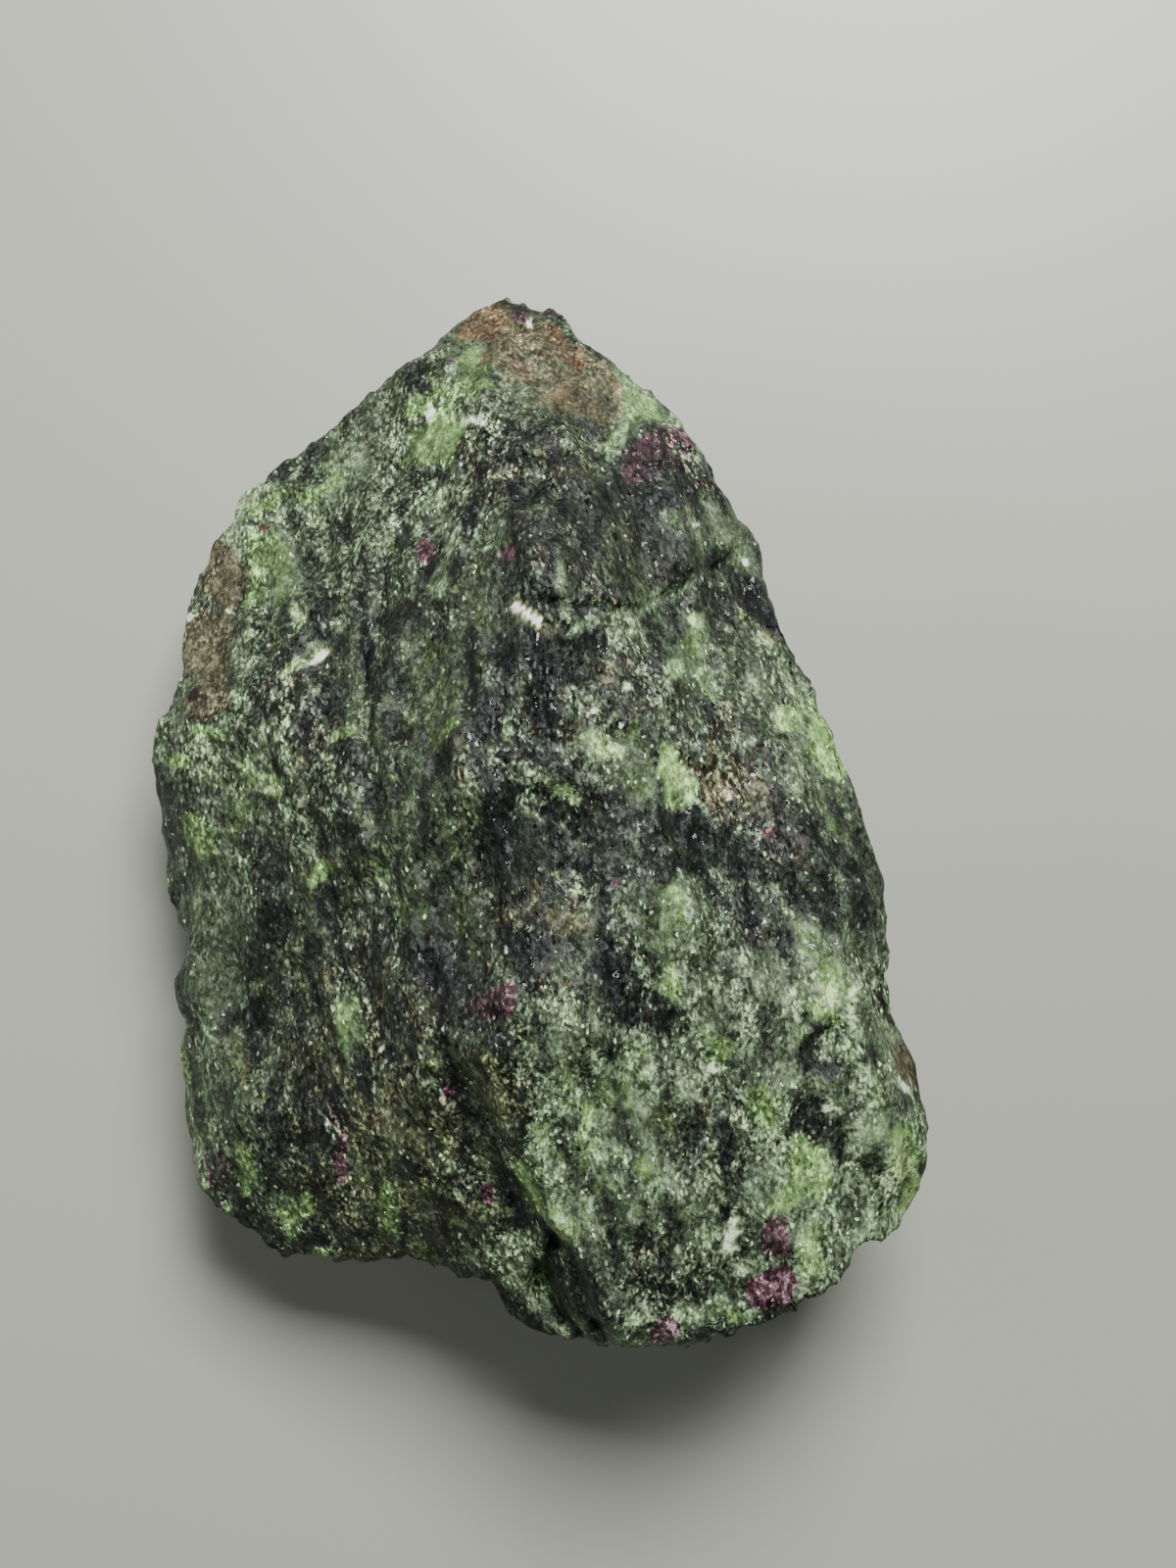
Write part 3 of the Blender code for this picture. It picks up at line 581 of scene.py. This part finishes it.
# Clouds where the rock is paler or darker than its minerals alone would be: partly its own tone
# and partly painted light and shade, which lifts faces and hollows that fall into shade and darkens
# others: x, y, half length, half breadth, direction, and how much paler.
CLOUDS_AND_PAINTED_SHADE = (
    (-28.5, 6, 3.5, 2.2, 90, -.11), (-23.5, -7.5, 6.5, 3, 100, -.1), (-14, -21, 8, 5, 125, -.17),
    (-36, -21, 10, 3, 93, -.14), (-27, -29, 7, 3.5, 105, -.17), (-25, -20, 5, 3, 100, -.09),
    (-9, -14, 5, 5, 90, -.06), (-3, -17.5, 9, 7, 0, -.08), (-10, -3, 3.5, 7, 0, -.08),
    (-16, 11, 4, 3.5, 60, -.09), (-35, -3, 4, 3.5, 90, -.05), (4, -2, 4, 3, 90, -.06),
    (8, -9, 4, 3, 90, -.06), (7, -28.5, 6, 3, 160, -.14), (14, -23, 4.5, 3, 30, -.07),
    (.5, 37, 4.5, 3, 90, -.12), (6.5, 31, 4.5, 4, 90, -.14), (-4, 24.5, 5, 3.5, 90, -.08),
    (-10, 13, 4, 4, 90, -.06), (4, 16, 4, 3.5, 90, -.1), (13, 12.5, 5.5, 4, 125, -.1),
    (15.5, 7.5, 3.5, 3, 90, -.08), (10.5, -51, 8, 4.5, 0, -.13), (-3, -36.5, 6, 3, 0, -.08),
    (12, -40, 4, 3, 90, -.05), (30, -35, 4, 3, 90, -.08), (-7, -47.5, 3, 2.5, 0, -.12),
    (-23, -41, 4.5, 3, 20, -.06), (16, -14, 5, 3.5, 120, -.06), (-22, 1, 4, 3, 90, -.06),
    (-3, -2.5, 4.5, 3, 0, .19), (14, 3, 4, 3, 90, .07), (8, 0, 6.5, 4, 160, .13),
    (0, 4, 4, 3, 0, .05), (-15, -2, 5, 4, 90, .11), (-28.5, -5, 6, 4, 100, .16),
    (-16, 6, 4, 3.5, 90, .1), (22.5, -9, 5, 3.5, 130, .14), (23, -16, 3.5, 3, 0, -.07),
    (11, -16, 4, 3, 90, .09), (0, -27, 3.5, 3.5, 0, .07), (3, -31, 5, 3, 0, .07),
    (-6, -25, 4.5, 4, 100, .06), (-21, -36, 4, 3.5, 100, .11), (-3.5, -47, 4, 3, 90, .15),
    (-5.5, -52, 4.5, 3, 90, .1), (14.5, -36.5, 4.5, 3.5, 90, .12), (11, -31, 4.5, 3, 90, .06),
    (24, -24, 5.5, 4.5, 90, .12), (25.5, -35.5, 4, 4, 90, .14), (33, -41, 8, 3.5, 90, .1),
    (7, -57, 9, 4, 0, .2), (9, -45.5, 5, 3, 0, .07), (20, -48.5, 6, 4, 90, .14),
    (-32, -42, 5, 4, 100, .07), (-34, 24, 4.5, 3, 70, .05), (-40, 18, 5, 3, 80, .08),
    (-43, 5, 5, 2.5, 90, .08), (-31.5, 32, 4.5, 2.8, 50, .07), (7, 39, 6, 3.5, 140, .12),
    (10, 34, 4, 3, 130, .06), (13, 22.5, 5.5, 4, 100, .12), (20, 13, 4, 3, 110, .07),
    (20, 3, 4, 3.5, 90, .06), (8.9, -20.7, 2.6, 1.6, 98, .1), (-9.5, -22.5, 4.5, 3.5, 90, .16),
)
RAGGED = (2.6, 1.1)      # size and reach of the wandering of a patch's edge
FRAYED = (1.3, 0.9)      # size of the frayed specks along it, and how far they eat into it
FRAYS = (0.6, 0.4)       # shares of the larger and the smaller specks
WHOLE = 2.0              # patches whose half breadth is under this wander and fray less
SHARPNESS = 1.7          # how quickly a patch comes in behind its edge
SPILL = 0.15             # how far it reaches past its oval
# Clots of three sizes, each with its seed, and how much lighter or darker they are.
CLOTS, CLOTTED = ((4.2, 72), (2.3, 73), (1.2, 74)), 0.08
# Thin seams along the layers: times drawn out and size; how much darker and past what height of
# their noise, the same for the pale ones between them, and how sharp both are.
SEAMS, DARK_SEAM, PALE_SEAM, SEAM_SHARP = (6.0, 1.5), (0.22, 0.30), (0.10, 0.40), 3.5
# The grains' differences are calmer in some clots than in others: size of these and by how much.
CALM_SIZE, CALM_REACH = 3.2, 0.55
# Scattered minerals: the mean lightness, and how much broad, middle and small swellings change it.
MEAN_LIGHT, SWELLINGS = 0.43, (0.10, 0.10, 0.08)
MOST, COMES_IN = 0.85, 5.0      # most that one of them covers, and how quickly it comes in
# Where the black band crosses the stone: centre, size along and across, direction.
SLANTING = (((-3, -7), (12, 6.5), 165), ((15, -5), (15, 7.5), 146))
SLANT_SHARP, SLANT_SPILL = 1.6, 0.4


def on_plan(p):
    """Where points appear on the plan: their distances from the eye's axis, scaled by the eye's
    height above LEVEL over its height above each point."""
    return (p[:, :2] - EYE[:2]) * ((EYE[2] - LEVEL) / (EYE[2] - p[:, 2]))[:, None]


def from_above(p):
    """1 on the upper faces, easing to nought a little below them."""
    x, y, z = p.T
    return ease((z - top_at(x, y)) / PLAN_FADE + PLAN_ENDS)


def clouded_and_shaded(p):
    """How much paler the clouds, partly painted light and shade, make each point: each is an oval
    that fades out to its edge.
    """
    east, north = on_plan(p).T
    paler = sum(amount * ease(oval(east, north, (x, y), (along, across), direction))
                for x, y, along, across, direction, amount in CLOUDS_AND_PAINTED_SHADE)
    return paler * from_above(p)


def mottled(p):
    """How much lighter or darker than its mineral each point is: clots of three sizes, and thin
    dark seams drawn far out along the layers."""
    times, seam_size = SEAMS
    drawn, seams = drawn_out(p, 2.0), swell(drawn_out(p, times), seam_size, 71)
    clots = sum(CLOTTED * swell(drawn, size, seed) for size, seed in CLOTS)
    clots = clots - DARK_SEAM[0] * ease((seams - DARK_SEAM[1]) * SEAM_SHARP)
    return clots + PALE_SEAM[0] * ease((-seams - PALE_SEAM[1]) * SEAM_SHARP)


def scattered_minerals(p):
    """The minerals with no plan: a ground whose lightness swells and fades, and over it olive and
    speckled rock, hornblende, mint and rubies, each where a noise of its own is high."""
    drawn = drawn_out(p, 2.4)
    broad, middle, small = swell(drawn, 11.0, 51), swell(drawn, 5.0, 52), swell(drawn, 2.2, 53)
    shades = np.empty((len(p), 7))
    shades[:] = MINERALS["light ground"]
    shades[:, 0] = MEAN_LIGHT
    for swelling, amount in zip((broad, middle, small), SWELLINGS):
        shades[:, 0] += amount * swelling
    for name, noise, least in (("olive", swell(drawn, 9.0, 54), 0.15), ("speckled", broad, 0.2),
                               ("hornblende", swell(drawn, 6.0, 55) + 0.4 * small, 0.35),
                               ("mint", swell(drawn, 4.5, 56) + 0.5 * small, 0.45),
                               ("dark ruby", swell(drawn, 7.5, 57) + 0.2 * small, 0.62),
                               ("ruby", swell(drawn, 7.5, 57) + 0.3 * small, 0.78)):
        share = MOST * ease((noise - least) * COMES_IN)[:, None]
        shades += share * (np.array(MINERALS[name]) - shades)
    return shades


def planned_minerals(p, shades):
    """Lays the plan's patches over the given shades, one on another, as far as they are seen from
    above. Each is an oval whose edge wanders, and frays where a fine noise is added to its height
    above the edge."""
    ground = shades.copy()
    size, reach = RAGGED
    seen = on_plan(p)
    stray = reach * np.stack([swell(p, size, 61), swell(p, size, 62)], axis=1)
    drawn = drawn_out(p, 1.8)
    larger, smaller = swell(drawn, FRAYED[0], 63), swell(drawn, FRAYED[0] / 2, 64)
    frays = FRAYED[1] * (FRAYS[0] * larger + FRAYS[1] * smaller)
    for name, places in PATCHES:
        for x, y, along, across, direction, amount in places:
            loose = min(1.0, across / WHOLE)
            east, north = (seen + loose * stray).T
            height = oval(east, north, (x, y), (along, across), direction) + SPILL
            share = amount * ease(SHARPNESS * height + loose * frays)[:, None]
            shades += share * (np.array(MINERALS[name]) - shades)
    return ground + from_above(p)[:, None] * (shades - ground)


def slanting(p):
    """1 in the black band that crosses the stone, where the grains lie aslant to the layers."""
    east, north = on_plan(p).T
    ovals = [oval(east, north, *place) for place in SLANTING]
    return ease(SLANT_SHARP * np.max(ovals, axis=0) + SLANT_SPILL)


shades = planned_minerals(stone_points, scattered_minerals(stone_points))
# The clouds add painted light and shade to the lightness, along with the rock's own tone.
shades[:, 0] += mottled(stone_points) + clouded_and_shaded(stone_points)
shades[:, 1] *= 1.0 + CALM_REACH * swell(drawn_out(stone_points, 1.6), CALM_SIZE, 75)
shades = np.column_stack([shades, slanting(stone_points)])
LAYER_NAMES = ("light", "spread", "ruby", "lime", "earth", "rust", "dull", "slant")
for column, name in enumerate(LAYER_NAMES):
    layer = stone_mesh.attributes.new(name, 'FLOAT', 'POINT')
    layer.data.foreach_set("value", shades[:, column].astype(np.float32))


# ----------------------------------------
# The stone's finish. Every grain is a broken crystal about half a millimetre across with its own
# shade and tilt, so that a few of them catch the light; thin sheets of grains lie along the layers,
# and skin and rust are dull.
# ----------------------------------------
class Wire:
    """What comes out of a node. Arithmetic on it adds Math nodes, or Vector Math nodes where it
    carries a vector or a colour."""

    def __init__(self, tree, socket):
        self.tree, self.socket = tree, socket
        self.vector = socket.type in ('VECTOR', 'RGBA')

    def worked(self, operation, *values):
        """A new wire: the given operation on values, which are wires, numbers or tuples."""
        kind = 'ShaderNodeVectorMath' if self.vector else 'ShaderNodeMath'
        node = self.tree.nodes.new(kind)
        node.operation = operation
        slots = node.inputs if operation != 'SCALE' else (node.inputs[0], node.inputs["Scale"])
        for slot, value in zip(slots, values):
            plug(self.tree, slot, value)
        return Wire(self.tree, node.outputs[0])

    def __add__(self, other):
        return self.worked('ADD', self, other)

    def __radd__(self, other):
        return self.worked('ADD', other, self)

    def __sub__(self, other):
        return self.worked('SUBTRACT', self, other)

    def __rsub__(self, other):
        return self.worked('SUBTRACT', other, self)

    def __mul__(self, other):
        number = not isinstance(other, tuple) and not getattr(other, "vector", False)
        return self.worked('SCALE' if self.vector and number else 'MULTIPLY', self, other)

    __rmul__ = __mul__

    def __truediv__(self, other):
        return self.worked('DIVIDE', self, other)

    def clipped(self):
        """The value kept between 0 and 1."""
        return self.worked('MINIMUM', self.worked('MAXIMUM', self, 0.0), 1.0)


def plug(tree, slot, value):
    """Links a wire to a socket, or sets the socket to a plain value."""
    if isinstance(value, Wire):
        tree.links.new(value.socket, slot)
    else:
        slot.default_value = value


class Finish:
    """A material, and the one way of adding nodes to it."""

    def __init__(self, name):
        self.material = bpy.data.materials.new(name)
        self.material.use_nodes = True
        self.tree = self.material.node_tree
        self.shader = self.tree.nodes["Principled BSDF"]

    def add(self, kind, settings=(), sockets=(), out=0):
        """Adds a node: its settings first, then its sockets; returns one of its outputs."""
        node = self.tree.nodes.new(kind)
        for name, value in dict(settings).items():
            if name == "stops":
                ramp = node.color_ramp.elements
                while len(ramp) < len(value):
                    ramp.new(1.0)
                for stop, (position, colour) in zip(ramp, value):
                    stop.position, stop.color = position, (*colour, 1.0)
            else:
                setattr(node, name, value)
        for name, value in dict(sockets).items():
            plug(self.tree, node.inputs[name], value)
        return Wire(self.tree, node.outputs[out])

    def painted(self, name):
        """The value painted on the mesh under this name."""
        return self.add('ShaderNodeAttribute', {"attribute_name": name}, out="Fac")

    def blend(self, share, first, second):
        """The first colour where share is 0 and the second where it is 1."""
        return self.add('ShaderNodeMix', {"data_type": 'RGBA'}, {0: share, 6: first, 7: second},
                        out=2)

    def wear(self, **sockets):
        """Plugs wires or plain values into the shader's own sockets."""
        for name, value in sockets.items():
            plug(self.tree, self.shader.inputs[name.replace("_", " ")], value)


# The colours of each mineral, from its darkest clots to its palest.
STEPS = (0.0, 0.25, 0.5, 0.75, 1.0)
ZOISITE = ((.003, .004, .004), (.016, .021, .0145), (.052, .073, .042), (.157, .226, .124),
           (.52, .70, .37))
LIME = ((.004, .005, .003), (.020, .026, .011), (.060, .098, .036), (.175, .30, .100),
        (.53, .75, .30))
EARTH = ((.005, .005, .0045), (.025, .0245, .015), (.073, .070, .038), (.20, .195, .112),
         (.74, .77, .66))
RUST = ((.007, .005, .003), (.036, .023, .012), (.095, .064, .033), (.255, .185, .10),
        (.62, .54, .38))
RUBY = ((.005, .003, .005), (.025, .014, .017), (.071, .035, .042), (.19, .13, .15),
        (.62, .54, .57))

GRAIN, GRIT = 0.45, 0.55  # millimetres across a grain, and the grit in it as a share of that
ALONG, DRAWN = tuple(LAYERS / np.linalg.norm(LAYERS)), 0.35     # how grains and sheets lie
ASLANT, DRAWN_ASLANT = (0.77, -0.60, -0.22), 0.7    # and the sheets in the black band
WOBBLE = 0.25            # how far the grains' edges wander, in millimetres
SHEET = (0.8, 3.0, 0.66)  # size, detail and roughness of the clouds that the sheets are cut from
SHEET_CUT, SHEET_SHARP, SHEET_MEAN = 0.54, 3.0, 0.4
FROST = (0.26, 2.0, 0.7)  # the frosting, finer than the grains
# How much a grain's shade owes to its sheet, the cloud in it, the grain, the grit and the frost.
BY_SHEET, BY_CLOUD, BY_GRAIN, BY_GRIT, BY_FROST = 0.52, 0.25, 0.45, 0.78, 1.6
MEAN_SQUARE = 0.33       # of numbers spread evenly from 0 to 1
CLOT_BY_SHEET = 0.3      # how far the sheets move the colour along its steps
GLINTS, GLINT_SHARP, GLINT = 0.985, 400.0, 0.55     # which grit gets a painted glint, how brightly
GLASSY, GLASSY_SHARP = 0.88, 40.0                   # which grains are smooth as glass
CLOT, CLOT_CONTRAST, CLOT_SHARE = 1.2, 2.2, 0.7
SOFTNESS = 0.35          # how softly one mineral gives way to another
DEPTH, DARKER = 4.6, 0.4  # how steeply a grain's shade changes its brightness, and more so down
EVENED, BLACKEST = 0.97, 0.0015         # keep the mean brightness, and the blacks from going dead
ROUGH, DULLER, GLASS, UNEVEN = 0.55, 0.25, 0.38, 0.2    # roughness, and what moves it
TILT, GLASS_TILT, GRIT_TILT = 0.55, 0.3, 0.4        # how far grains lean from the surface
PITS, PITTED = (1.3, 4.0, 0.62), 0.0005             # the smallest pits, and their depth in metres

rock = Finish("ruby_zoisite_rock")
place = rock.add('ShaderNodeTexCoord', out="Object") * (1.0 / MILLIMETRE)


def squeezed(way, share):
    """The object's places drawn together along one direction, so that what is laid on them comes
    out drawn out that way."""
    along = rock.add('ShaderNodeVectorMath', {"operation": 'DOT_PRODUCT'}, {0: place, 1: way},
                     out="Value")
    return place - rock.add('ShaderNodeVectorMath', {"operation": 'SCALE'},
                            {0: way, "Scale": along}) * share


layered = squeezed(ALONG, DRAWN)


def noise(where, size, detail, roughness=0.6, out=0):
    """Cloudy noise whose largest clouds are about this many millimetres across."""
    return rock.add('ShaderNodeTexNoise', {}, {"Vector": where, "Scale": 0.5 / size,
                                               "Detail": detail, "Roughness": roughness}, out=out)


def cells(where, size):
    """Irregular cells about this many millimetres across, each with a colour of its own."""
    return rock.add('ShaderNodeTexVoronoi', {}, {"Vector": where, "Scale": 1.0 / size}, out="Color")


MIDDLE = (0.5, 0.5, 0.5)
wobble = (noise(layered, 0.3, 0.0, out="Color") - MIDDLE) * WOBBLE
grain = cells(layered + wobble, GRAIN)
grit = cells(layered + wobble, GRAIN * GRIT)
shade, pick, shine = (rock.add('ShaderNodeSeparateColor', {}, {0: grain}, out=n)
                      for n in range(3))
fine_shade, fine_pick = (rock.add('ShaderNodeSeparateColor', {}, {0: grit}, out=n)
                         for n in range(2))
aslant = noise(squeezed(ASLANT, DRAWN_ASLANT), *SHEET)
straight = noise(layered, *SHEET)
clouds = straight + (aslant - straight) * rock.painted("slant")
sheets = ((clouds - SHEET_CUT) * SHEET_SHARP + 0.5).clipped() - SHEET_MEAN

# A painted glint: a few specks of grit made near white in the colour, standing for light caught by
# tiny faces.
painted_glint = ((fine_pick - GLINTS) * GLINT_SHARP).clipped() * (1.0 - rock.painted("dull"))
frost = noise(layered, *FROST)
differ = (sheets * BY_SHEET + (clouds - 0.5) * BY_CLOUD + (shade * shade - MEAN_SQUARE) * BY_GRAIN
          + (fine_shade * fine_shade - MEAN_SQUARE) * BY_GRIT + (frost - 0.5) * BY_FROST)
broad = (rock.painted("light") + rock.painted("spread") * sheets * CLOT_BY_SHEET).clipped()
light = (rock.painted("light") + rock.painted("spread") * differ + painted_glint * GLINT).clipped()

# Which mineral a grain is made of follows clots of grains rather than single ones.
clots = (noise(layered, CLOT, 2.0) - 0.5) * CLOT_CONTRAST + 0.5
choice = clots * CLOT_SHARE + pick * (1.0 - CLOT_SHARE)


def taken(name):
    """Which grains are this mineral: those whose number is under the painted share."""
    return ((rock.painted(name) * (1.0 + SOFTNESS) - choice) / SOFTNESS).clipped()


def tinted(colours):
    """The mineral's colour at each clot's lightness."""
    return rock.add('ShaderNodeValToRGB', {"stops": tuple(zip(STEPS, colours))}, {0: broad})


colour = tinted(ZOISITE)
for name, colours in (("earth", EARTH), ("lime", LIME), ("rust", RUST), ("ruby", RUBY)):
    colour = rock.blend(taken(name), colour, tinted(colours))

# What a grain's own shade adds to its clot's makes the colour brighter or darker by so many times,
# and the darkest grains stop short of a dead black.
step = light - broad
step = step * DEPTH - step.worked('ABSOLUTE', step) * DARKER
deeper = step.worked('EXPONENT', step)
colour = colour * (deeper * EVENED)
colour = colour.worked('MAXIMUM', colour, (BLACKEST, BLACKEST, BLACKEST))

glassy = ((shine - GLASSY) * GLASSY_SHARP).clipped() * (1.0 - rock.painted("dull"))
roughness = ROUGH + rock.painted("dull") * DULLER - glassy * GLASS - (pick - 0.5) * UNEVEN
tilt = (grain - MIDDLE) * (TILT + glassy * GLASS_TILT) + (grit - MIDDLE) * GRIT_TILT
normal = rock.add('ShaderNodeNewGeometry', out="Normal") + tilt
normal = rock.add('ShaderNodeVectorMath', {"operation": 'NORMALIZE'}, {0: normal})
bumped = rock.add('ShaderNodeBump', {}, {"Strength": 1.0, "Distance": PITTED, "Normal": normal,
                                         "Height": noise(layered, *PITS)})
rock.wear(Base_Color=colour, Roughness=roughness, Normal=bumped, Specular_IOR_Level=0.25)
stone_mesh.materials.append(rock.material)

# ----------------------------------------
# The table. A plain pale board, painted a greenish grey, that the stone lies on. It is only a
# stage for the stone.
# ----------------------------------------
TABLE_ACROSS = 3.0
TABLE_COLOUR, TABLE_ROUGHNESS = (0.328, 0.34, 0.283, 1.0), 0.38

table_mesh = bpy.data.meshes.new("table")
table_corners = np.array(((-1, -1, 0), (1, -1, 0), (1, 1, 0), (-1, 1, 0))) * TABLE_ACROSS / 2
table_mesh.from_pydata(table_corners, (), ((0, 1, 2, 3),))
table = put_down("table", table_mesh)
table_paint = bpy.data.materials.new("table_paint")
table_paint.use_nodes = True
table_shader = table_paint.node_tree.nodes["Principled BSDF"]
table_shader.inputs["Base Color"].default_value = TABLE_COLOUR
table_shader.inputs["Roughness"].default_value = TABLE_ROUGHNESS
table_mesh.materials.append(table_paint)

# ----------------------------------------
# The light. A soft square lamp hangs above the pointed end; a larger, weaker one stands to the
# left; and the room adds an even grey.
# ----------------------------------------
LAMPS = (
    # name, place, aimed at, size, power
    ("key", (0.10, 0.36, 0.56), (0.0, 0.0, 0.02), 0.28, 10.2),
    ("fill", (-0.80, 0.05, 0.50), (0.0, 0.0, 0.02), 0.50, 2.8),
)
ROOM_COLOUR, ROOM = (0.9, 0.95, 1.0, 1.0), 0.06


def lamp(name, place, target, size, power):
    """A square area lamp of the given size, turned to face its target."""
    data = bpy.data.lights.new(name, 'AREA')
    data.shape, data.size, data.energy = 'SQUARE', size, power
    holder = put_down(name, data)
    holder.location = place
    holder.rotation_euler = (Vector(target) - Vector(place)).to_track_quat('-Z', 'Y').to_euler()


for settings in LAMPS:
    lamp(*settings)
room = bpy.data.worlds.new("room")
room.use_nodes = True
grey = room.node_tree.nodes["Background"]
grey.inputs["Color"].default_value = ROOM_COLOUR
grey.inputs["Strength"].default_value = ROOM
bpy.context.scene.world = room

# ----------------------------------------
# The camera. It looks straight down; at the middle height of the stone its picture is 120 mm
# wide and 160 mm high.
# ----------------------------------------
PICTURE_HIGH, SENSOR = 160.0, 24.0

camera_data = bpy.data.cameras.new("camera")
camera_data.sensor_fit = 'VERTICAL'
camera_data.sensor_height = SENSOR
camera_data.lens = SENSOR * (EYE[2] - LEVEL) / PICTURE_HIGH
camera = put_down("camera", camera_data)
camera.location = EYE * MILLIMETRE
bpy.context.scene.camera = camera
